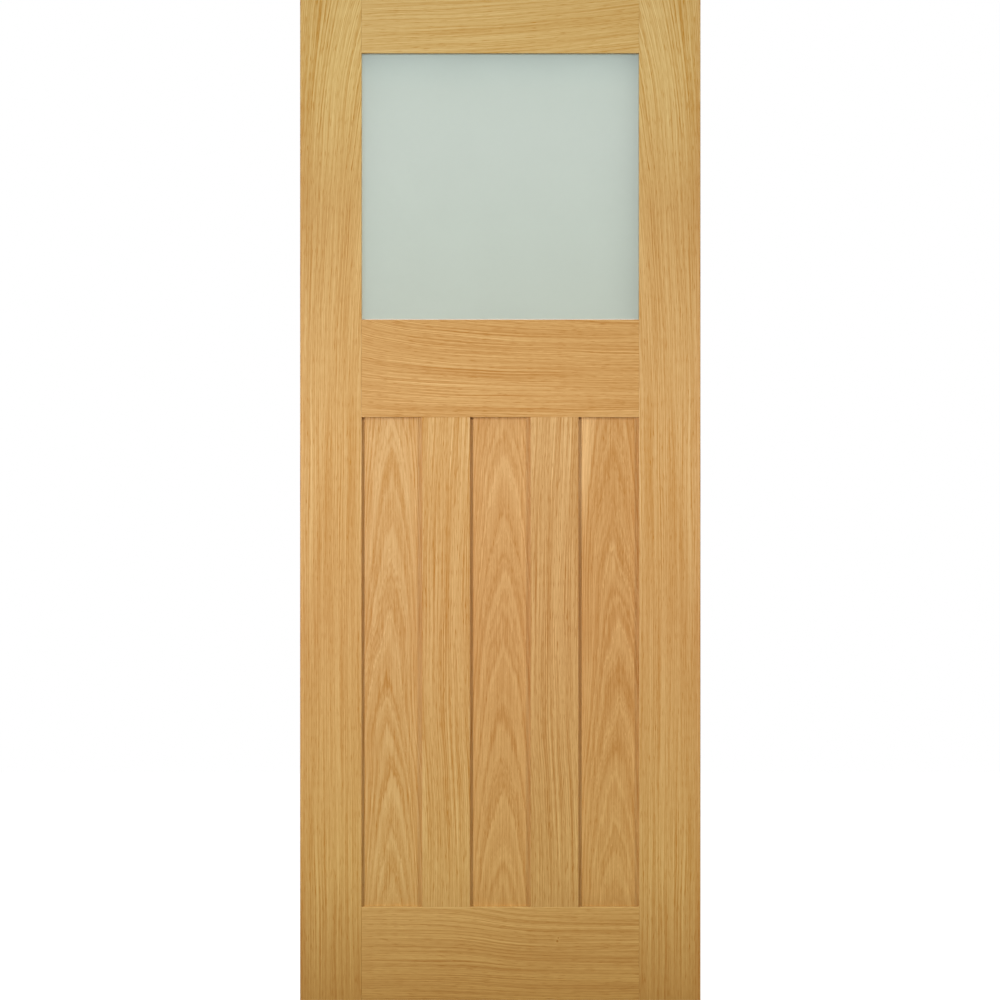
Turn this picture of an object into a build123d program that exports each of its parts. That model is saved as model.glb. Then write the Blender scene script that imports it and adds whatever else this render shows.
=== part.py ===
from build123d import *
import os

os.makedirs("parts", exist_ok=True)

# A glazed oak door leaf, in millimetres.
# X runs from the hinge edge to the lock edge, Y from the front face to the back face, Z upwards.
# The origin is on the hinge edge, half way through the thickness, at the foot of the leaf.

# The leaf as a whole
door_width = 813.0
door_height = 2032.0
door_thickness = 35.0

# Face widths of the stiles, rails and muntins
stile_width = 125.0
top_rail_width = 109.0
lock_rail_width = 198.0
bottom_rail_width = 190.0
muntin_width = 97.5

# Height of the glass that shows between the top rail and the lock rail
light_height = 541.0

# Solid lippings on the two long edges
lipping_thickness = 10.0
lipping_arris = 2.0

# Edges of the framing, eased so that they are not sharp to the hand
arris = 1.0

# Flat panels, held loose in grooves so that they can swell
panel_thickness = 12.0
groove_depth = 12.0
panel_face_play = 0.1
panel_edge_play = 1.0

# Glass, bedded on tape behind a lip and held from the back by beads
lip_thickness = 12.0
rebate_width = 12.0
tape_thickness = 2.0
glass_thickness = 5.0
glass_edge_play = 3.0
bead_arris = 2.0
bead_setback = 1.0

# How far the bottom tape at the front stands up past the lip
tape_show = 2.0

# Places and sizes that follow from these
front_face = -door_thickness / 2
back_face = door_thickness / 2
centre_x = door_width / 2
left_sight = stile_width
right_sight = door_width - stile_width
opening_width = right_sight - left_sight
light_top = door_height - top_rail_width
light_bottom = light_top - light_height
light_centre = (light_top + light_bottom) / 2
panel_top = light_bottom - lock_rail_width
panel_bottom = bottom_rail_width
panel_height = panel_top - panel_bottom
panel_centre = (panel_top + panel_bottom) / 2
panel_width = (opening_width - 2 * muntin_width) / 3
groove_width = panel_thickness + 2 * panel_face_play
rebate_depth = door_thickness - lip_thickness
glass_cover = rebate_width - glass_edge_play
front_tape_face = front_face + lip_thickness
glass_face = front_tape_face + tape_thickness
back_tape_face = glass_face + glass_thickness
bead_face = back_tape_face + tape_thickness
bead_back = back_face - bead_setback
bead_depth = bead_back - bead_face


def upright(depth_position):
    """A plane that faces the front of the leaf, at a given place through its thickness."""
    return Plane.XZ.offset(-depth_position)


def finish(piece, label):
    """Name a finished piece and write it to its file."""
    piece.part.label = label
    export_step(piece.part, f"parts/{label}.step")


def cut_glass_rebate():
    """Cut the pocket for the glass, its tape and its beads out of the piece being made, from the back."""
    with BuildSketch(upright(back_face)) as pocket:
        with Locations((centre_x, light_centre)):
            Rectangle(opening_width + 2 * rebate_width, light_height + 2 * rebate_width)
    extrude(pocket.sketch, amount=rebate_depth, mode=Mode.SUBTRACT)


def cut_panel_groove():
    """Cut the groove for the panels and the muntin tongues into the edge of the rail being made."""
    with BuildSketch(upright(groove_width / 2)) as groove:
        with Locations((centre_x, panel_centre)):
            Rectangle(opening_width, panel_height + 2 * groove_depth)
    extrude(groove.sketch, amount=groove_width, mode=Mode.SUBTRACT)


# Left stile: one groove runs its whole length and takes the rail tongues and the panel edge
with BuildPart() as left_stile:
    with BuildSketch(Plane.XY) as stile_section:
        with Locations((lipping_thickness, 0)):
            Rectangle(stile_width - lipping_thickness, door_thickness, align=(Align.MIN, Align.CENTER))
        fillet(stile_section.vertices().group_by(Axis.X)[-1], arris)
        with Locations((left_sight, 0)):
            Rectangle(groove_depth, groove_width, align=(Align.MAX, Align.CENTER), mode=Mode.SUBTRACT)
    extrude(amount=door_height)
    cut_glass_rebate()
finish(left_stile, "left_stile")

# Left lipping: rounded on its two outer corners, glued flat to the stile
with BuildPart() as left_lipping:
    with BuildSketch(Plane.XY) as lipping_section:
        Rectangle(lipping_thickness, door_thickness, align=(Align.MIN, Align.CENTER))
        fillet(lipping_section.vertices().group_by(Axis.X)[0], lipping_arris)
    extrude(amount=door_height)
finish(left_lipping, "left_lipping")

# The lock edge is the hinge edge mirrored
middle_plane = Plane.YZ.offset(centre_x)
with BuildPart() as right_stile:
    mirror(left_stile.part, about=middle_plane)
finish(right_stile, "right_stile")

with BuildPart() as right_lipping:
    mirror(left_lipping.part, about=middle_plane)
finish(right_lipping, "right_lipping")


def make_rail(label, foot, width, eased_edges, tongue_foot, tongue_top, housings):
    """A rail with its shoulders tight between the stiles and a tongue at each end in the stile groove."""
    with BuildPart() as rail:
        with BuildSketch(Plane.YZ.offset(left_sight)) as section:
            with Locations((0, foot)):
                Rectangle(door_thickness, width, align=(Align.CENTER, Align.MIN))
            corners = section.vertices().group_by(Axis.Y)
            for edge in eased_edges:
                fillet(corners[edge], arris)
        extrude(amount=opening_width)
        for cut_housing in housings:
            cut_housing()
        with BuildSketch(Plane.YZ.offset(left_sight - groove_depth)):
            with Locations((0, tongue_foot)):
                Rectangle(groove_width, tongue_top - tongue_foot, align=(Align.CENTER, Align.MIN))
        extrude(amount=opening_width + 2 * groove_depth)
    finish(rail, label)


# Each tongue stops short of the groove or the rebate along the rail's own edge
glass_pocket_top = light_top + rebate_width
glass_pocket_bottom = light_bottom - rebate_width
groove_top = panel_top + groove_depth
groove_bottom = panel_bottom - groove_depth

# The edges next to glass and panels are eased, and the top and the foot of the leaf are left square
lower, upper = 0, -1
make_rail("top_rail", light_top, top_rail_width, [lower], glass_pocket_top, door_height, [cut_glass_rebate])
make_rail(
    "lock_rail",
    panel_top,
    lock_rail_width,
    [lower, upper],
    groove_top,
    glass_pocket_bottom,
    [cut_glass_rebate, cut_panel_groove],
)
make_rail("bottom_rail", 0.0, bottom_rail_width, [upper], 0.0, groove_bottom, [cut_panel_groove])


def make_muntin(label, centre):
    """An upright between two panels: grooved on both edges and tongued into the rails above and below."""
    with BuildPart() as muntin:
        with BuildSketch(Plane.XY.offset(panel_bottom)):
            with Locations((centre, 0)):
                RectangleRounded(muntin_width, door_thickness, arris)
            with Locations((centre - muntin_width / 2, 0), (centre + muntin_width / 2, 0)):
                Rectangle(2 * groove_depth, groove_width, mode=Mode.SUBTRACT)
        extrude(amount=panel_height)
        with BuildSketch(Plane.XY.offset(groove_bottom)):
            with Locations((centre, 0)):
                Rectangle(muntin_width - 2 * groove_depth, groove_width)
        extrude(amount=groove_top - groove_bottom)
    finish(muntin, label)


def make_panel(label, centre):
    """A flat panel that reaches into the grooves all round, with play at its edges and faces."""
    cover = groove_depth - panel_edge_play
    with BuildPart() as panel:
        with BuildSketch(upright(panel_thickness / 2)):
            with Locations((centre, panel_centre)):
                Rectangle(panel_width + 2 * cover, panel_height + 2 * cover)
        extrude(amount=panel_thickness)
    finish(panel, label)


# Muntins and panels are spaced evenly about the middle of the leaf
panel_pitch = panel_width + muntin_width
make_muntin("left_muntin", centre_x - panel_pitch / 2)
make_muntin("right_muntin", centre_x + panel_pitch / 2)
make_panel("left_panel", centre_x - panel_pitch)
make_panel("middle_panel", centre_x)
make_panel("right_panel", centre_x + panel_pitch)

# Frosted glass, clear of the bottom of its rebate all round
glass_width = opening_width + 2 * glass_cover
with BuildPart() as glass_pane:
    with BuildSketch(upright(back_tape_face)):
        with Locations((centre_x, light_centre)):
            Rectangle(glass_width, light_height + 2 * glass_cover)
    extrude(amount=glass_thickness)
finish(glass_pane, "glass_pane")


def make_tape(label, face, left, foot, width, height):
    """A strip of glazing tape, laid flat against the glass."""
    with BuildPart() as tape:
        with BuildSketch(upright(face + tape_thickness)):
            with Locations((left, foot)):
                Rectangle(width, height, align=(Align.MIN, Align.MIN))
        extrude(amount=tape_thickness)
    finish(tape, label)


# Tape on both faces of the glass: full length at the top and the foot, and between these at the sides
glass_left = left_sight - glass_cover
glass_bottom = light_bottom - glass_cover
for side, face, show in (("front", front_tape_face, tape_show), ("back", back_tape_face, 0.0)):
    side_foot = light_bottom + show
    side_height = light_top - side_foot
    make_tape(f"{side}_top_tape", face, glass_left, light_top, glass_width, glass_cover)
    make_tape(f"{side}_bottom_tape", face, glass_left, glass_bottom, glass_width, glass_cover + show)
    make_tape(f"{side}_left_tape", face, glass_left, side_foot, glass_cover, side_height)
    make_tape(f"{side}_right_tape", face, right_sight, side_foot, glass_cover, side_height)


def make_bead(label, outer_start, inner_start, inner_end, outer_end):
    """A glazing bead mitred at both ends, just below the back face and rounded towards the glass."""
    with BuildPart() as bead:
        with BuildSketch(upright(bead_back)):
            with BuildLine():
                Polyline(outer_start, inner_start, inner_end, outer_end, close=True)
            make_face()
        extrude(amount=bead_depth)
        back_edges = bead.edges().group_by(Axis.Y)[-1]
        glass_edge = back_edges.sort_by_distance((centre_x, bead_back, light_centre))[0]
        fillet(glass_edge, bead_arris)
    finish(bead, label)


# The beads meet on the corners of the sight line and the corners of the rebate
pocket_left = left_sight - rebate_width
pocket_right = right_sight + rebate_width
sight_corners = [
    (left_sight, light_bottom),
    (right_sight, light_bottom),
    (right_sight, light_top),
    (left_sight, light_top),
]
pocket_corners = [
    (pocket_left, glass_pocket_bottom),
    (pocket_right, glass_pocket_bottom),
    (pocket_right, glass_pocket_top),
    (pocket_left, glass_pocket_top),
]
for start, label in enumerate(["bottom_bead", "right_bead", "top_bead", "left_bead"]):
    end = (start + 1) % len(sight_corners)
    make_bead(label, pocket_corners[start], sight_corners[start], sight_corners[end], pocket_corners[end])
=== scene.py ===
# %% [markdown]
# # A glazed oak door leaf
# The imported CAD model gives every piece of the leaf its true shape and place: stiles, rails, muntins,
# panels, glass, beads and tape. This script keeps all of them and gives them their finishes, adds the
# small fastenings that the model leaves out, and sets up a plain studio around the leaf.
# X runs across the front from the hinge edge, Y goes from the front face to the back, Z is up, in metres.

import math
import random

import bmesh
import bpy
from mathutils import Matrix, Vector


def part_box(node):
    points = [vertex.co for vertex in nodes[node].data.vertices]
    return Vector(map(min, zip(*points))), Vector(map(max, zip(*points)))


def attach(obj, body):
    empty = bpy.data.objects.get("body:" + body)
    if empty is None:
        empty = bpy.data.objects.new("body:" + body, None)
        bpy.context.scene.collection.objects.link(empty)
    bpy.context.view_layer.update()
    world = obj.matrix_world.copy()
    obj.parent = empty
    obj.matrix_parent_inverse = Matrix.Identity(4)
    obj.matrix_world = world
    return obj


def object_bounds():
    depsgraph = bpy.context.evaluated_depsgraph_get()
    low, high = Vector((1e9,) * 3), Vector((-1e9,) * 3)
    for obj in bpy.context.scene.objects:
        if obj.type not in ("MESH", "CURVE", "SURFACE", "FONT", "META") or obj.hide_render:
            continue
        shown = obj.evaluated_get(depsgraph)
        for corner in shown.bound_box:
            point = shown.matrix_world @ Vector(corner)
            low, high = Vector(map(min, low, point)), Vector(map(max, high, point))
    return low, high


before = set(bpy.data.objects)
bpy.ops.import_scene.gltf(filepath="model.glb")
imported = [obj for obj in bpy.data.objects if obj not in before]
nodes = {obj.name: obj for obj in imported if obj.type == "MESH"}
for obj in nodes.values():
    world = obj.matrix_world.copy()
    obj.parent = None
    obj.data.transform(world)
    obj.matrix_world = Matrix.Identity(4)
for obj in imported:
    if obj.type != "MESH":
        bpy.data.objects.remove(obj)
cad_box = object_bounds()
low, high = (Vector(corner) for corner in cad_box)
print(len(nodes), "pieces in a box of", [round(v, 3) for v in high - low])

# %% [markdown]
# ## Camera
# The leaf was photographed square on, and it fills the square picture from top to bottom. A long lens far
# away shows almost no perspective, as a catalogue picture does. The distance follows from the lens, so that
# the front face is as high as the picture and a hair more. The leaf stands a third of a pixel right of the
# middle.

# %% Camera at the height of the leaf's middle
SENSOR_MM = 36.0
LENS_MM = 150.0
PICTURE_PX = 1000
LEAF_PX = 1001.0
OFF_CENTRE_PX = 0.3
scene = bpy.context.scene
door_width = high.x - low.x
door_height = high.z - low.z
middle_x = (low.x + high.x) / 2
pixel = door_height / LEAF_PX
camera_distance = pixel * PICTURE_PX * LENS_MM / SENSOR_MM
camera_data = bpy.data.cameras.new("studio_camera")
camera_data.sensor_width = SENSOR_MM
camera_data.lens = LENS_MM
camera = bpy.data.objects.new("studio_camera", camera_data)
camera.location = (middle_x - OFF_CENTRE_PX * pixel, low.y - camera_distance, (low.z + high.z) / 2)
camera.rotation_euler = (math.radians(90), 0, 0)
scene.collection.objects.link(camera)
scene.camera = camera
scene.view_settings.view_transform = "Standard"
print("camera", round(camera_distance, 2), "m away, one pixel is", round(pixel * 1000, 3), "mm")

# %% [markdown]
# ## Colours and shader nodes
# Colours are written as the eye sees them, as sRGB hex values. Shaders work with light, which is linear, so
# one function converts. A second one adds a shader node: its options are keyword settings, and its inputs
# take a number, a colour, or another node, whose first output is then linked.

# %% From hex to light
def linear(hex_colour):
    """An sRGB hex colour as linear red, green, blue and full alpha."""
    parts = [int(hex_colour[i : i + 2], 16) / 255 for i in (1, 3, 5)]
    return [p / 12.92 if p <= 0.04045 else ((p + 0.055) / 1.055) ** 2.4 for p in parts] + [1.0]


print("the middle grey #808080 is", round(linear("#808080")[0], 3), "as light")

# %% One function for all nodes, and an empty finish
def add(tree, kind, inputs=None, **settings):
    """Add one shader node with its settings, and set or link its inputs."""
    node = tree.nodes.new("ShaderNode" + kind)
    for name, value in settings.items():
        setattr(node, name, value)
    for socket, value in (inputs or {}).items():
        if isinstance(value, bpy.types.Node):
            value = value.outputs[0]
        if isinstance(value, bpy.types.NodeSocket):
            tree.links.new(value, node.inputs[socket])
        else:
            node.inputs[socket].default_value = value
    return node


def new_material(name):
    """An empty node material, its node tree and its output node."""
    material = bpy.data.materials.new(name)
    material.use_nodes = True
    tree = material.node_tree
    tree.nodes.clear()
    print("finish:", name)
    return material, tree, add(tree, "OutputMaterial")


# %% [markdown]
# ## Studio
# The picture has a pure white ground. A world that is white for the camera and for reflections gives that.
# What shows through the glass is a dimmer room, and the light that reaches the leaf is lower still and
# strongest overhead, as under a white ceiling. The floor is pale and matt. It glows a little where it is
# looked at, so that it reads as white and still takes a soft shadow.

# %% What is looked at, and what only gives light
THROUGH_GLASS = 0.57


def seen_directly(tree):
    """One where a surface is seen itself or in a reflection, less through glass, nought for other light."""
    path = add(tree, "LightPath").outputs
    through = path["Is Transmission Ray"]
    seen = add(tree, "Math", {0: path["Is Camera Ray"], 1: path["Is Glossy Ray"]}, operation="MAXIMUM")
    seen = add(tree, "Math", {0: seen, 1: through}, operation="MAXIMUM")
    return add(tree, "Math", {0: through, 1: THROUGH_GLASS - 1, 2: seen}, operation="MULTIPLY_ADD")


print("through the glass the room keeps", THROUGH_GLASS, "of its brightness")

# %% White surroundings
AMBIENT = 0.20
FROM_ABOVE = 0.30
world = bpy.data.worlds.new("studio_world")
scene.world = world
world.use_nodes = True
tree = world.node_tree
tree.nodes.clear()
direction = add(tree, "SeparateXYZ", {0: add(tree, "TexCoord").outputs["Generated"]}).outputs
ceiling = add(tree, "MapRange", {0: direction["Z"], 3: AMBIENT, 4: AMBIENT + FROM_ABOVE})
strength = add(tree, "Mix", {0: seen_directly(tree), 2: ceiling, 3: 1.0})
white = add(tree, "Background", {"Color": (1, 1, 1, 1), "Strength": strength})
add(tree, "OutputWorld", {"Surface": white})
print("world is white to the camera and", AMBIENT, "to", AMBIENT + FROM_ABOVE, "as light")

# %% Pale floor
FLOOR_SIZE = 14.0
FLOOR_GLOW = 0.95
bpy.ops.mesh.primitive_plane_add(size=FLOOR_SIZE, location=(middle_x, 0, low.z))
floor = bpy.context.object
floor.name = "studio_floor"
floor_material, tree, out = new_material("matt pale studio paint")
matt = add(tree, "BsdfDiffuse", {"Color": linear("#808080")})
glow_strength = add(tree, "Math", {0: seen_directly(tree), 1: FLOOR_GLOW}, operation="MULTIPLY")
glow = add(tree, "Emission", {"Color": (1, 1, 1, 1), "Strength": glow_strength})
both = add(tree, "AddShader", {0: matt, 1: glow})
tree.links.new(both.outputs[0], out.inputs["Surface"])
floor.data.materials.append(floor_material)
print("floor", FLOOR_SIZE, "m wide at z", round(low.z, 3))

# %% [markdown]
# ## Light
# Narrow dark strips of one width stand along the left edge of every panel, and wider, fainter ones along the
# right edge. On a recess 11.5 mm deep they give the angles of two lamps: a strong one on the left and a
# weaker one on the right, both far enough away for the strips to be alike. The lock rail throws a short
# shadow down with the weaker lamp's depth, so that one hangs higher. A grid on the front of each lamp narrows
# its beam, and that makes the light fall off towards the foot. A third lamp hangs high behind the leaf on the
# right. It lights the back, and through the frosted pane it leaves the head and the right edge in the beads'
# soft shade.

# %% Three lamps with grids
LAMP_AIM = Vector((middle_x, 0, 1.25))
LAMP_SPREAD = math.radians(66)


def soft_lamp(name, place, size, watts):
    """A square lamp that faces the leaf, with its beam narrowed by a grid."""
    data = bpy.data.lights.new(name, "AREA")
    data.size = size
    data.energy = watts
    data.spread = LAMP_SPREAD
    lamp = bpy.data.objects.new(name, data)
    lamp.location = place
    lamp.rotation_euler = (LAMP_AIM - Vector(place)).to_track_quat("-Z", "Y").to_euler()
    scene.collection.objects.link(lamp)


soft_lamp("left_key", (middle_x - 2.55, -4.4, 1.35), size=0.8, watts=20.0)
soft_lamp("right_fill", (middle_x + 3.7, -4.4, 2.9), size=0.9, watts=14.4)
soft_lamp("back_lamp", (middle_x + 2.2, 3.0, 4.6), size=1.2, watts=30.0)
print("lamps", [lamp.name for lamp in bpy.data.lights])

# %% [markdown]
# ## Oak
# All the wood is oak under a satin lacquer. Oak shows open pores and fine fibres along the grain, and light
# and dark wood where the face cuts through the year rings. How the log is cut decides the pattern. The
# stiles, rails and muntins are cut so that the rings meet the face steeply, and read as long parallel lines.
# The panels are crown-cut: the face lies nearly level with the rings, which taper up the trunk and come out
# as nested arches. Every pattern is worked out in millimetres from the place in the leaf, so it runs on round
# edges and ends. Oak's fibres and pores are about 0.3 mm wide. They are drawn about 1.5 mm wide, because
# anything finer is lost between the pixels.

# %% Streaks along the grain
MM = 1000.0
WIDTH_MM, HEIGHT_MM = door_width * MM, door_height * MM


def streaks(tree, grain, width, length, layer):
    """Noise drawn out along the grain: streaks about this wide and this long, in millimetres."""
    stretch, offset = (1 / width, 1 / length, 1.0), (0, 0, layer)
    drawn_out = add(tree, "VectorMath", {0: grain, 1: stretch, 2: offset}, operation="MULTIPLY_ADD")
    return add(tree, "TexNoise", {"Vector": drawn_out, "Scale": 1.0, "Detail": 1.0, "Roughness": 0.6})


def open_pores(tree, grain, width, length):
    """A half, and nought in the short dashes where pores lie open."""
    dashes = streaks(tree, grain, width, length, 9.0)
    return add(tree, "MapRange", {0: dashes, 1: 0.62, 2: 0.72, 3: 0.5, 4: 0.0})


print("grain is drawn on a leaf of", round(WIDTH_MM), "by", round(HEIGHT_MM), "mm")

# %% Tones, curves and colours
def blend(tree, start, *parts):
    """A start value and patterns, each of which adds its weight times its distance from a half."""
    tone = start
    for pattern, weight in parts:
        level = add(tree, "Math", {0: pattern, 1: weight, 2: -0.5 * weight}, operation="MULTIPLY_ADD")
        tone = add(tree, "Math", {0: tone, 1: level}, operation="ADD")
    return tone


def curve_through(tree, value, points):
    """A smooth curve through points between nought and one."""
    node = add(tree, "FloatCurve", {1: value})
    line = node.mapping.curves[0].points
    line[0].location, line[1].location = points[0], points[-1]
    for point in points[1:-1]:
        line.new(*point)
    node.mapping.update()
    return node


def colours_through(tree, value, stops):
    """A colour that runs through hex colours at places between nought and one."""
    node = add(tree, "ValToRGB", {0: value})
    marks = node.color_ramp.elements
    for mark, (place, colour) in zip(marks, (stops[0], stops[-1])):
        mark.position, mark.color = place, linear(colour)
    for place, colour in stops[1:-1]:
        marks.new(place).color = linear(colour)
    return node


# %% [markdown]
# ### Straight-cut boards
# A rift cut meets the rings at a slant, so a line that shows on the face runs on at a slant through the
# thickness. Where the trunk was not straight the lines lean away from the board's length: `lean` is a curve
# along the board, and `shift` and `fan` say how far it pushes the lines, evenly and in proportion to the
# width. Streaks of several sizes make the lines: their widths and lengths are in millimetres. A pin knot is
# a dark speck in a slightly paler ring, at a place along and across the front face.

# %% Long parallel lines
RIFT_SLANT = 0.7
WANDER = 9.0
KNOT_RING = 3.5
KNOT_PALE, KNOT_DARK = 0.12, -2.2


def straight_cut(tree, run, across, depth, length, lean=None, shift=0.0, fan=0.0, pin_knots=(),
                 contrast=1.0, seed=0.0):
    """The tone of a straight-cut board, with pin knots as places along and across, and a radius."""
    lines = add(tree, "Math", {0: depth, 1: RIFT_SLANT, 2: across}, operation="MULTIPLY_ADD")
    if lean:
        part = add(tree, "Math", {0: run, 1: length}, operation="DIVIDE")
        push = add(tree, "Math", {0: across, 1: fan, 2: shift}, operation="MULTIPLY_ADD")
        push = add(tree, "Math", {0: push, 1: curve_through(tree, part, lean)}, operation="MULTIPLY")
        lines = add(tree, "Math", {0: lines, 1: push}, operation="SUBTRACT")
    grain = add(tree, "CombineXYZ", {0: lines, 1: run, 2: seed})
    wander = streaks(tree, grain, 30.0, 260.0, 0.0)
    lines = add(tree, "Math", {0: wander, 1: WANDER, 2: lines}, operation="MULTIPLY_ADD")
    grain = add(tree, "CombineXYZ", {0: lines, 1: run, 2: seed})
    tone = blend(
        tree, 0.5,
        (streaks(tree, grain, 1.5, 420.0, 1.0), 1.30 * contrast),
        (streaks(tree, grain, 4.2, 700.0, 3.0), 0.70 * contrast),
        (streaks(tree, grain, 17.0, 1200.0, 5.0), 0.45 * contrast),
        (streaks(tree, grain, 1.6, 110.0, 7.0), 0.40 * contrast),
        (streaks(tree, grain, 1.7, 24.0, 8.0), 0.45 * contrast),
        (open_pores(tree, grain, 1.5, 30.0), 0.80 * contrast),
    )
    for knot_run, knot_across, radius in pin_knots:
        place = add(tree, "CombineXYZ", {0: run, 1: across, 2: depth})
        centre = (knot_run, knot_across, low.y * MM)
        apart = add(tree, "VectorMath", {0: place, 1: centre}, operation="DISTANCE").outputs["Value"]
        for reach, change in ((radius * KNOT_RING, KNOT_PALE), (radius, KNOT_DARK)):
            speck = add(tree, "MapRange", {0: apart, 1: reach, 2: 0.0, 4: change})
            tone = add(tree, "Math", {0: tone, 1: speck}, operation="ADD")
    return tone


print("a line moves", round(RIFT_SLANT * (high.y - low.y) * MM, 1), "mm aside through the thickness")

# %% [markdown]
# ### Crown-cut panels
# Every ring of a tapering trunk comes out of a crown-cut face as one arch. The arch through a point has its
# tip further up the board by an amount that grows with the distance from the panel's middle line: a pointed
# tip, then legs that grow steeper until they run straight along the panel's edges. So the height of the tip,
# `tip`, names the ring, and the tone depends on that. Each ring starts dark, with open pores, and grows paler
# until the next. Fibres cross the arches along the board and feather their edges, and here and there a ray
# of the trunk comes out of the face as a small pale fleck. Outside a ring named by `sapwood` the wood on the
# left is pale, near the head.

# %% Rings by the heights of their tips
TIP_LOWEST, TIP_HIGHEST = -150.0, 1750.0
RING_EDGE = 9.0
RING_PALE, RING_DARK = 0.85, 0.1


def year_rings(tips):
    """Curve points for arches with their tips at these heights: pale just below a tip and dark just above."""
    points = [(0.0, 0.5)]
    for height in tips:
        for step, tone in ((-RING_EDGE, RING_PALE), (RING_EDGE, RING_DARK)):
            points.append(((height + step - TIP_LOWEST) / (TIP_HIGHEST - TIP_LOWEST), tone))
    return points + [(1.0, 0.5)]


print("tips can lie from", TIP_LOWEST, "to", TIP_HIGHEST, "mm above a panel's foot")

# %% Nested arches
PANEL_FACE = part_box("left_panel")[0][1] * MM
ARCH_WIDTH, ARCH_HEIGHT = 75.0, 700.0
ARCH_LEG = [(0, 0), (0.27, 0.075), (0.5, 0.2), (0.67, 0.36), (0.8, 0.55), (1, 1)]
RING_LEAN = 8.0
SAPWOOD_TONE, SAPWOOD_EDGE = 0.38, 40.0
SAPWOOD_ENDS = (0.74, 0.87)


def crown_cut(tree, run, across, depth, length, tips, lean, shift, steep=1.0, sapwood=None,
              contrast=1.0, seed=0.0):
    """The tone of a crown-cut panel whose arches have their tips at the given heights."""
    up = add(tree, "Math", {0: run, 1: length}, operation="DIVIDE")
    middle = add(tree, "Math", {0: curve_through(tree, up, lean), 1: shift}, operation="MULTIPLY")
    aside = add(tree, "Math", {0: across, 1: middle}, operation="SUBTRACT")
    out_from_middle = add(tree, "Math", {0: aside}, operation="ABSOLUTE")
    out_from_middle = add(tree, "Math", {0: out_from_middle, 1: ARCH_WIDTH}, operation="DIVIDE")
    leg = curve_through(tree, out_from_middle, ARCH_LEG)
    tip = add(tree, "Math", {0: leg, 1: ARCH_HEIGHT * steep, 2: run}, operation="MULTIPLY_ADD")
    inward = add(tree, "Math", {0: depth, 1: PANEL_FACE}, operation="SUBTRACT")
    tip = add(tree, "Math", {0: inward, 1: RING_LEAN, 2: tip}, operation="MULTIPLY_ADD")
    grain = add(tree, "CombineXYZ", {0: across, 1: run, 2: seed})
    tip = blend(
        tree, tip,
        (streaks(tree, grain, 30.0, 200.0, 0.0), 70.0),
        (streaks(tree, grain, 2.6, 70.0, 2.0), 60.0),
    )
    part = add(tree, "MapRange", {0: tip, 1: TIP_LOWEST, 2: TIP_HIGHEST})
    arches = add(tree, "CombineXYZ", {0: tip, 1: run, 2: seed})
    rays = streaks(tree, grain, 4.0, 15.0, 11.0)
    tone = blend(
        tree, 0.5,
        (curve_through(tree, part, year_rings(tips)), 0.26 * contrast),
        (streaks(tree, arches, 26.0, 600.0, 4.0), 0.50 * contrast),
        (streaks(tree, arches, 11.0, 400.0, 5.0), 0.50 * contrast),
        (streaks(tree, grain, 1.8, 130.0, 6.0), 0.75 * contrast),
        (open_pores(tree, grain, 1.7, 26.0), 0.40 * contrast),
        (add(tree, "MapRange", {0: rays, 1: 0.7, 2: 0.8, 3: 0.5, 4: 1.0}), 0.40 * contrast),
    )
    if sapwood:
        pale = add(tree, "MapRange", {0: tip, 1: sapwood, 2: sapwood + SAPWOOD_EDGE})
        on_left = add(tree, "Math", {0: aside, 1: 0.0}, operation="LESS_THAN")
        near_head = add(tree, "MapRange", {0: up, 1: SAPWOOD_ENDS[0], 2: SAPWOOD_ENDS[1]})
        for limit in (on_left, near_head):
            pale = add(tree, "Math", {0: pale, 1: limit}, operation="MULTIPLY")
        tone = add(tree, "Math", {0: pale, 1: SAPWOOD_TONE, 2: tone}, operation="MULTIPLY_ADD")
    return tone


print("an arch is", ARCH_HEIGHT, "mm high where its legs are", ARCH_WIDTH, "mm from the middle line")

# %% [markdown]
# ### The lacquered surface
# The sheets of veneer are yellower at the head of the leaf and pinker in the middle, so the oak's mean
# colour goes by height. Towards the foot it also grows darker and browner, and that part is painted shade
# where the lamps fall off. The tone makes it darker or lighter: dark wood loses little red and most of its
# blue, which is why it looks warm, and the palest wood is nearly cream. Some boards are plainer and swing
# less in hue. The lacquer is satin: it fills the pores only in part, so a fine relief stays along the grain,
# dark open wood looks duller than dense pale wood, and lamps show only as a soft sheen. The foot of each
# panel, in its corner above the bottom rail, is painted darker and browner: painted shade. The eased edge
# above the bottom rail is painted paler: a painted highlight where light from above catches it. At the head
# and the foot the leaf is sawn through, and there the pale softwood core shows between the two face veneers
# and the solid lippings.

# %% The core at the sawn ends
VENEER = 0.8
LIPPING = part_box("left_stile")[0][0] * MM
SAWN = 0.05
CORE_COLOURS = [(0.3, "#C29A5E"), (0.5, "#D9BC88"), (0.7, "#E6CD9C")]


def softwood_core(tree, axes, along):
    """The colour of the core, and one where the leaf is sawn through at its head and foot."""
    sides = ("X", "Y") if along == "Z" else ("Y", "X")
    grain = add(tree, "CombineXYZ", {0: axes[sides[0]], 1: axes[sides[1]]})
    colour = colours_through(tree, streaks(tree, grain, 3.0, 120.0, 20.0), CORE_COLOURS)
    shown = 1.0
    for axis, middle, reach, test in (
        ("Z", HEIGHT_MM / 2, HEIGHT_MM / 2 - SAWN, "GREATER_THAN"),
        ("Y", 0.0, high.y * MM - VENEER, "LESS_THAN"),
        ("X", WIDTH_MM / 2, WIDTH_MM / 2 - LIPPING, "LESS_THAN"),
    ):
        away = add(tree, "Math", {0: axes[axis], 1: middle}, operation="SUBTRACT")
        away = add(tree, "Math", {0: away}, operation="ABSOLUTE")
        within = add(tree, "Math", {0: away, 1: reach}, operation=test)
        shown = add(tree, "Math", {0: within, 1: shown}, operation="MULTIPLY")
    return colour, shown


print("core between veneers of", VENEER, "mm and lippings of", round(LIPPING, 1), "mm")
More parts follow.
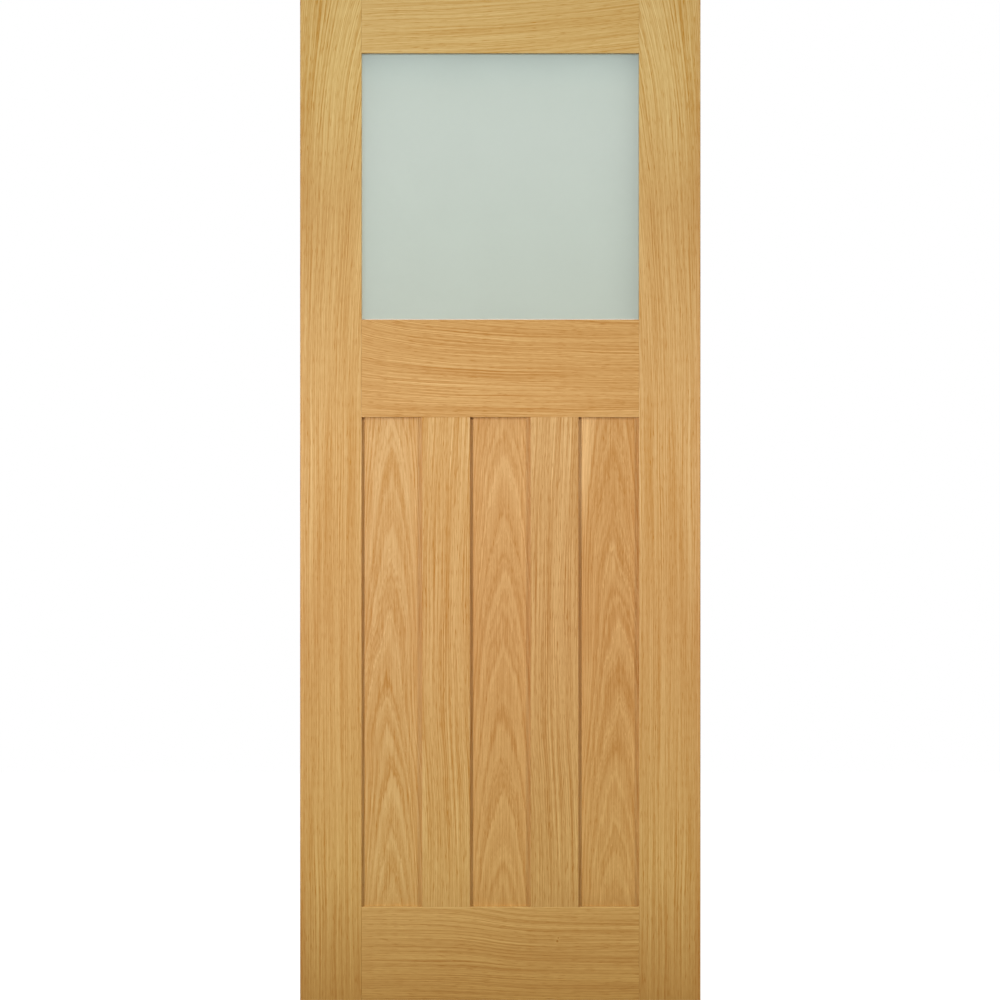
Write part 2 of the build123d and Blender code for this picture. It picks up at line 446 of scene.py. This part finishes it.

# %% Oak under satin lacquer
# Mean colour by height: veneer hue, and darker towards the foot as painted shade.
OAK_AND_SHADE_BY_HEIGHT = [
    (0.0, "#BC8B41"), (0.13, "#D0A259"), (0.37, "#CE9C5A"),
    (0.55, "#D2A363"), (0.79, "#C49856"), (0.93, "#CFAA65"),
]
WARM_SWING, PLAIN_SWING = (0.54, 0.96, 1.84), (0.61, 0.98, 1.66)
NO_TINT = (1.0, 1.0, 1.0)
# Width and tone of the painted highlight along the bottom rail's top edge.
PAINTED_HIGHLIGHT_WIDTH, PAINTED_HIGHLIGHT_TONE = 3.0, 0.45
# Height of the painted shade at the foot of each panel.
FOOT_SHADE_WIDTH = 30.0
DULL, SATIN = 0.58, 0.42


def oak(name, pattern, along, start, length, mirrored=False, shade=(0.0, 0.0), tint=NO_TINT, painted_highlight_edge=None,
        painted_foot_shade=None, swing=WARM_SWING, **grain):
    """Satin-lacquered oak with a cutting pattern, its grain along X or Z from a start in millimetres."""
    material, tree, out = new_material(name)
    place = add(tree, "TexCoord").outputs["Object"]
    place = add(tree, "VectorMath", {0: place, "Scale": MM}, operation="SCALE")
    axes = add(tree, "SeparateXYZ", {0: place}).outputs
    side = "X" if along == "Z" else "Z"
    run = add(tree, "Math", {0: axes[along], 1: start[along]}, operation="SUBTRACT")
    across = add(tree, "Math", {0: axes[side], 1: start[side]}, operation="SUBTRACT")
    if mirrored:
        across = add(tree, "Math", {0: across, 1: -1.0}, operation="MULTIPLY")
    tone = pattern(tree, run, across, axes["Y"], length, **grain)
    paler = add(tree, "MapRange", {0: run, 2: length, 3: shade[0], 4: shade[1]})
    tone = add(tree, "Math", {0: tone, 1: paler}, operation="ADD")
    # Painted highlight: a paler tone in a strip just below the given edge.
    if painted_highlight_edge:
        edge = add(tree, "MapRange", {0: across, 1: painted_highlight_edge - PAINTED_HIGHLIGHT_WIDTH, 2: painted_highlight_edge, 4: PAINTED_HIGHLIGHT_TONE})
        tone = add(tree, "Math", {0: tone, 1: edge}, operation="ADD")
    tone = add(tree, "Clamp", {0: tone})
    up = add(tree, "Math", {0: axes["Z"], 1: HEIGHT_MM}, operation="DIVIDE")
    mean = colours_through(tree, up, OAK_AND_SHADE_BY_HEIGHT)
    mean = add(tree, "VectorMath", {0: mean, 1: tint}, operation="MULTIPLY")
    off_mean = add(tree, "Math", {0: tone, 1: 0.5}, operation="SUBTRACT")
    change = add(tree, "VectorMath", {0: swing, "Scale": off_mean}, operation="SCALE")
    change = add(tree, "VectorMath", {0: change, 1: NO_TINT}, operation="ADD")
    colour = add(tree, "VectorMath", {0: mean, 1: change}, operation="MULTIPLY")
    # Painted shade: a darker, browner colour in the lowest few centimetres of a panel.
    if painted_foot_shade:
        clear = add(tree, "MapRange", {0: run, 2: FOOT_SHADE_WIDTH})
        painted_foot_tint = add(tree, "Mix", {0: clear, 4: painted_foot_shade, 5: NO_TINT}, data_type="VECTOR").outputs[1]
        colour = add(tree, "VectorMath", {0: colour, 1: painted_foot_tint}, operation="MULTIPLY")
    core, shown = softwood_core(tree, axes, along)
    colour = add(tree, "Mix", {0: shown, 6: colour, 7: core}, data_type="RGBA").outputs[2]
    relief = add(tree, "Bump", {"Height": tone, "Strength": 0.2, "Distance": 0.0002})
    dullness = add(tree, "MapRange", {0: tone, 3: DULL, 4: SATIN})
    lacquer = add(tree, "BsdfPrincipled", {
        "Base Color": colour, "Roughness": dullness, "IOR": 1.5, "Specular IOR Level": 0.35, "Normal": relief,
    })
    tree.links.new(lacquer.outputs[0], out.inputs["Surface"])
    return material


# %% [markdown]
# ## Boards
# The two stiles come from one sheet of veneer opened like a book, so the right one is the left one mirrored.
# Their lines are straight below the lock rail and fan inwards above it. The solid lippings on the two long
# edges share their grain and are tinted browner: painted shade along the leaf's long edges. The rails run
# level with a slow bend of their own.
# The muntins are neighbours from one sheet. Each panel has its arches about its own middle line. The places
# where the grain starts are read from the pieces, in millimetres.

# %% Where the boards lie
def corners_mm(name):
    """The lowest and highest corners of a piece, in millimetres."""
    return [Vector(corner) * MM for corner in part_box(name)]


sight_left = corners_mm("left_stile")[1].x
sight_width = corners_mm("right_stile")[0].x - sight_left
panel_foot = corners_mm("bottom_rail")[1].z
panel_height = corners_mm("lock_rail")[0].z - panel_foot
finishes = {}
print("between the stiles", round(sight_width, 1), "mm, panels", round(panel_height, 1), "mm high")

# %% Stiles and lippings
stile_grain = dict(
    length=HEIGHT_MM, lean=[(0, 0), (0.6, 0), (0.75, 0.2), (1, 1)], shift=20.0, fan=0.42, seed=1.0)
left_edge, right_edge = {"X": 0.0, "Z": 0.0}, {"X": WIDTH_MM, "Z": 0.0}
finishes["left_stile"] = oak(
    "rift-cut oak, left stile", straight_cut, "Z", left_edge, tint=(1.0, 1.0, 0.95), **stile_grain)
finishes["right_stile"] = oak(
    "rift-cut oak, right stile", straight_cut, "Z", right_edge, mirrored=True, **stile_grain)
# The lippings' browner tints are painted shade along the leaf's long edges.
finishes["left_lipping"] = oak(
    "solid oak, left lipping", straight_cut, "Z", left_edge, tint=(0.98, 0.94, 0.84), **stile_grain)
finishes["right_lipping"] = oak(
    "solid oak, right lipping", straight_cut, "Z", right_edge, mirrored=True, tint=(0.96, 0.91, 0.86),
    **stile_grain)

# %% Rails
rail_foot = {name: {"X": sight_left, "Z": corners_mm(name)[0].z} for name in nodes if name.endswith("_rail")}
finishes["top_rail"] = oak(
    "rift-cut oak, top rail", straight_cut, "X", rail_foot["top_rail"], length=sight_width,
    lean=[(0, 0), (0.5, 0.3), (1, 1)], shift=40.0, shade=(0.02, -0.07), contrast=0.8, seed=2.0)
finishes["lock_rail"] = oak(
    "rift-cut oak, lock rail", straight_cut, "X", rail_foot["lock_rail"], length=sight_width,
    lean=[(0, 1), (0.1, 0.75), (0.25, 0.5), (0.5, 0.22), (0.75, 0.07), (1, 0)], shift=8.0, fan=0.2,
    shade=(-0.10, -0.10), tint=(1.015, 1.0, 0.97), swing=PLAIN_SWING, contrast=0.92, seed=3.0)
# The bottom rail's top edge carries a painted highlight.
finishes["bottom_rail"] = oak(
    "rift-cut oak, bottom rail", straight_cut, "X", rail_foot["bottom_rail"], length=sight_width,
    lean=[(0, 0), (0.3, 0.1), (0.65, 0.9), (1, 1)], shift=-8.0, fan=-0.12, painted_highlight_edge=panel_foot,
    pin_knots=[(397.2, 120.4, 2.6), (399.2, 126.9, 1.7)], shade=(0.05, 0.0), swing=PLAIN_SWING, seed=4.0)

# %% Muntins
FURTHER_ON, FURTHER_DOWN = 13.8, 24.0
muntin_grain = dict(
    length=panel_height, shift=15.0, contrast=1.2, seed=5.0,
    lean=[(0, 0.9), (0.12, 0.9), (0.25, 0.6), (0.4, 0.1), (0.5, 0), (0.62, 0), (0.8, 0.25), (1, 0.7)])
first_cut = {"X": corners_mm("left_muntin")[0].x, "Z": panel_foot}
next_cut = {"X": corners_mm("right_muntin")[0].x - FURTHER_ON, "Z": panel_foot - FURTHER_DOWN}
finishes["left_muntin"] = oak(
    "rift-cut oak, left muntin", straight_cut, "Z", first_cut, shade=(0.05, -0.04), **muntin_grain)
finishes["right_muntin"] = oak(
    "rift-cut oak, right muntin", straight_cut, "Z", next_cut, tint=(0.965, 0.955, 0.98),
    swing=PLAIN_SWING, **muntin_grain)

# %% Beads, cut from a wider board that starts a little below them
BOARD_BELOW = 70.0
bead_start, level_end = corners_mm("bottom_bead")
upright_end = corners_mm("left_bead")[1]
finishes["top_bead"] = finishes["bottom_bead"] = oak(
    "solid oak, level beads", straight_cut, "X", {"X": bead_start.x, "Z": bead_start.z - BOARD_BELOW},
    length=level_end.x - bead_start.x, seed=10.0)
finishes["left_bead"] = finishes["right_bead"] = oak(
    "solid oak, upright beads", straight_cut, "Z", {"X": bead_start.x, "Z": bead_start.z},
    length=upright_end.z - bead_start.z, seed=11.0)

# %% Crown-cut panels
HIGHER_TIPS = [1080.0, 1150.0, 1235.0, 1320.0, 1390.0, 1470.0, 1560.0]
panel_start = {
    name: {"X": (corners_mm(name)[0].x + corners_mm(name)[1].x) / 2, "Z": panel_foot}
    for name in nodes if name.endswith("_panel")
}
# Each panel's foot is darkened by a painted shade, most on the right panel.
finishes["left_panel"] = oak(
    "crown-cut oak, left panel", crown_cut, "Z", panel_start["left_panel"], length=panel_height,
    tips=[-90.0, -20.0, 60.0, 159.0, 281.0, 369.0, 440.0, 613.0, 775.0, 879.0, 1010.0] + HIGHER_TIPS,
    lean=[(0, 0), (0.25, 0.1), (0.42, 1), (0.6, 0.2), (1, 0)], shift=-12.0, shade=(0.0, -0.01),
    tint=(1.0, 1.0, 1.03), steep=1.4, contrast=1.15, painted_foot_shade=(0.94, 0.97, 0.97), seed=7.0)
finishes["middle_panel"] = oak(
    "crown-cut oak, middle panel", crown_cut, "Z", panel_start["middle_panel"], length=panel_height,
    tips=[-90.0, -10.0, 70.0, 135.0, 233.0, 375.0, 533.0, 692.0, 795.0, 928.0, 1010.0] + HIGHER_TIPS,
    lean=[(0, 0.6), (0.5, 0.8), (1, 1)], shift=8.0, shade=(-0.05, -0.13), tint=(1.02, 1.0, 1.04),
    swing=PLAIN_SWING, painted_foot_shade=(0.95, 0.985, 0.99), seed=8.0)
finishes["right_panel"] = oak(
    "crown-cut oak, right panel", crown_cut, "Z", panel_start["right_panel"], length=panel_height,
    tips=[-80.0, 21.0, 123.0, 220.0, 306.0, 448.0, 588.0, 737.0, 880.0, 964.0] + HIGHER_TIPS,
    lean=[(0, 0.6), (0.2, 0.6), (0.45, 1), (0.75, 0.4), (1, 0.35)], shift=22.0, steep=1.15,
    sapwood=1105.0, shade=(-0.06, -0.19), tint=(1.015, 1.0, 1.03), swing=PLAIN_SWING, contrast=1.08,
    painted_foot_shade=(0.89, 0.91, 0.89), seed=9.0)

# %% Put the oak on the boards
def dress(name, material):
    """Give a piece of the CAD model its one finish."""
    slots = nodes[name].data.materials
    slots.clear()
    slots.append(material)


for name, material in finishes.items():
    dress(name, material)
print(len(finishes), "boards, panels and beads in oak")

# %% [markdown]
# ## Frosted glass
# The pane is float glass, acid-etched on one face: pale grey-green, with light spread so that nothing shows
# through it. Rough transmission gives the spread. The etch lies in faint clouds about as wide as a hand. Its
# colour is paler in the middle of its height and darker towards the foot and a little towards the head:
# painted shade. Within a few centimetres of its edges the colour is painted darker still, most at the head
# and on the right: painted shade, on top of the real shade that the beads cast from behind. In the last few
# millimetres it is painted lighter again: painted light. Etch pits are far smaller than a millimetre, and
# their relief is drawn at 2 mm so that it shows at all.

# %% The body of the glass
# Pale grey-green, with painted shade: darker towards the foot and the head.
GLASS_AND_SHADE_BY_HEIGHT = [
    (0.0, "#DFE9D9"), (0.35, "#E3EFE1"), (0.65, "#E6F2E6"), (0.85, "#E5F2E6"), (1.0, "#E0F1E7"),
]
CLOUD_MM = 90.0
PAINTED_SHADE_REACH, PAINTED_LIGHT_REACH = 0.028, 0.003
glass, tree, out = new_material("acid-etched float glass")
place = add(tree, "TexCoord").outputs["Object"]
axes = add(tree, "SeparateXYZ", {0: place}).outputs
pane_low, pane_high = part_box("glass_pane")
up = add(tree, "MapRange", {0: axes["Z"], 1: pane_low[2], 2: pane_high[2]})
body = colours_through(tree, up, GLASS_AND_SHADE_BY_HEIGHT)
clear = add(tree, "TexNoise", {"Vector": place, "Scale": MM / CLOUD_MM, "Detail": 2.0})
clear = add(tree, "MapRange", {0: clear, 3: 0.97, 4: 1.03})
# Painted shade within a few centimetres of the head and both sides, and painted light in the last few
# millimetres.
for axis, edge, inward, painted_shade in (
    ("Z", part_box("top_bead")[0][2], -1, 0.25),
    ("X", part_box("right_bead")[0][0], -1, 0.24),
    ("X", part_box("left_bead")[1][0], 1, 0.11),
):
    away = add(tree, "Math", {0: axes[axis], 1: edge}, operation="SUBTRACT")
    for reach, gain in ((PAINTED_SHADE_REACH, -painted_shade), (PAINTED_LIGHT_REACH, painted_shade)):
        fade = add(tree, "Math", {0: away, 1: -inward / reach}, operation="MULTIPLY")
        fade = add(tree, "Math", {0: fade}, operation="EXPONENT")
        clear = add(tree, "Math", {0: fade, 1: gain, 2: clear}, operation="MULTIPLY_ADD")
body = add(tree, "VectorMath", {0: body, "Scale": clear}, operation="SCALE")
print("glass dims within", PAINTED_SHADE_REACH * MM, "mm of its edges")

# %% The etched surface
ETCH_MM = 2.0
pits = add(tree, "TexNoise", {"Vector": place, "Scale": MM / ETCH_MM, "Detail": 1.0})
frost = add(tree, "MapRange", {0: pits, 3: 0.3, 4: 0.4})
relief = add(tree, "Bump", {"Height": pits, "Strength": 0.05, "Distance": 0.0002})
etched = add(tree, "BsdfPrincipled", {
    "Base Color": body, "Roughness": frost, "IOR": 1.52, "Transmission Weight": 1.0, "Normal": relief,
})
tree.links.new(etched.outputs[0], out.inputs["Surface"])
dress("glass_pane", glass)
print("etch drawn at", ETCH_MM, "mm")

# %% [markdown]
# ## Glazing tape
# White closed-cell foam tape beds the glass on both faces. At the front only its lower strip stands up past
# the lip, as a thin pale line. Cut foam is matt and finely pitted. Its cells are about 0.3 mm wide, and they
# are drawn at 1 mm so that they can be seen.

# %% Foam tape
CELL_MM = 1.0
tape, tree, out = new_material("white closed-cell foam tape")
place = add(tree, "TexCoord").outputs["Object"]
cells = add(tree, "TexVoronoi", {"Vector": place, "Scale": MM / CELL_MM})
foam_colour = colours_through(tree, cells, [(0.0, "#C8C6BA"), (0.6, "#DCDAD0")])
foam_relief = add(tree, "Bump", {"Height": cells, "Strength": 0.3, "Distance": 0.0002})
foam_dullness = add(tree, "MapRange", {0: cells, 3: 0.9, 4: 0.75})
foam = add(tree, "BsdfPrincipled", {
    "Base Color": foam_colour, "Roughness": foam_dullness, "IOR": 1.45, "Normal": foam_relief,
})
tree.links.new(foam.outputs[0], out.inputs["Surface"])
tapes = [name for name in nodes if name.endswith("_tape")]
for name in tapes:
    dress(name, tape)
print(len(tapes), "strips of tape")

# %% [markdown]
# ## Filled pin holes
# Each bead on the back is held by a row of thin pins, punched a little below the surface. The holes are
# stopped with coloured wax, which stays as small spots, a shade darker than the oak and just proud of it. No
# two are quite of one size, because they are pressed in with a thumb. A spot is a low dome of four rings.

# %% One spot of wax
SPOT_RADIUS, SPOT_RISE, SPOT_SIDES = 0.0016, 0.0002, 16
SPOT_RINGS = [(1.0, -1.0), (1.0, 0.2), (0.85, 0.7), (0.5, 1.0)]


def wax_spot(mesh, centre, radius):
    """A low dome on a face that looks along Y, with its foot sunk into that face."""
    turns = [2 * math.pi * i / SPOT_SIDES for i in range(SPOT_SIDES)]
    rings = []
    for share, rise in SPOT_RINGS:
        lift = Vector((0, rise * SPOT_RISE, 0))
        spokes = [Vector((math.cos(turn) * radius, 0, math.sin(turn) * radius)) for turn in turns]
        rings.append([mesh.verts.new(centre + spoke * share + lift) for spoke in spokes])
    for outer, inner in zip(rings, rings[1:]):
        for i in range(SPOT_SIDES):
            j = (i + 1) % SPOT_SIDES
            mesh.faces.new((outer[i], outer[j], inner[j], inner[i]))
    mesh.faces.new(rings[0])
    mesh.faces.new(rings[-1])


print("a spot is about", 2 * SPOT_RADIUS * MM, "mm wide and", SPOT_RISE * MM, "mm high")

# %% Spots along the beads
PIN_SPACING = 0.14
SPOT_SIZES = (0.85, 1.15)
thumb = random.Random(5)
wax_mesh = bmesh.new()
for name in ("top_bead", "bottom_bead", "left_bead", "right_bead"):
    bead_low, bead_high = (Vector(corner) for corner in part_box(name))
    size = bead_high - bead_low
    long_way = 0 if size.x > size.z else 2
    count = round(size[long_way] / PIN_SPACING)
    for i in range(count):
        centre = (bead_low + bead_high) / 2
        centre.y = bead_high.y
        centre[long_way] = bead_low[long_way] + (i + 0.5) * size[long_way] / count
        wax_spot(wax_mesh, centre, SPOT_RADIUS * thumb.uniform(*SPOT_SIZES))
bmesh.ops.recalc_face_normals(wax_mesh, faces=wax_mesh.faces)
wax_data = bpy.data.meshes.new("bead_pin_wax")
wax_mesh.to_mesh(wax_data)
wax_mesh.free()
wax_data.shade_smooth()
pin_wax = bpy.data.objects.new("bead_pin_wax", wax_data)
scene.collection.objects.link(pin_wax)
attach(pin_wax, "root")
print("wax spots", len(wax_data.vertices) // (SPOT_SIDES * len(SPOT_RINGS)))

# %% Coloured wax
SMEAR_MM = 1.0
wax, tree, out = new_material("brown filler wax")
place = add(tree, "TexCoord").outputs["Object"]
smears = add(tree, "TexNoise", {"Vector": place, "Scale": MM / SMEAR_MM, "Detail": 2.0})
wax_colour = colours_through(tree, smears, [(0.3, "#8E6230"), (0.7, "#A87A42")])
wax_dullness = add(tree, "MapRange", {0: smears, 3: 0.35, 4: 0.55})
wax_relief = add(tree, "Bump", {"Height": smears, "Strength": 0.2, "Distance": 0.0001})
rubbed = add(tree, "BsdfPrincipled", {
    "Base Color": wax_colour, "Roughness": wax_dullness, "IOR": 1.44, "Normal": wax_relief,
})
tree.links.new(rubbed.outputs[0], out.inputs["Surface"])
wax_data.materials.append(wax)
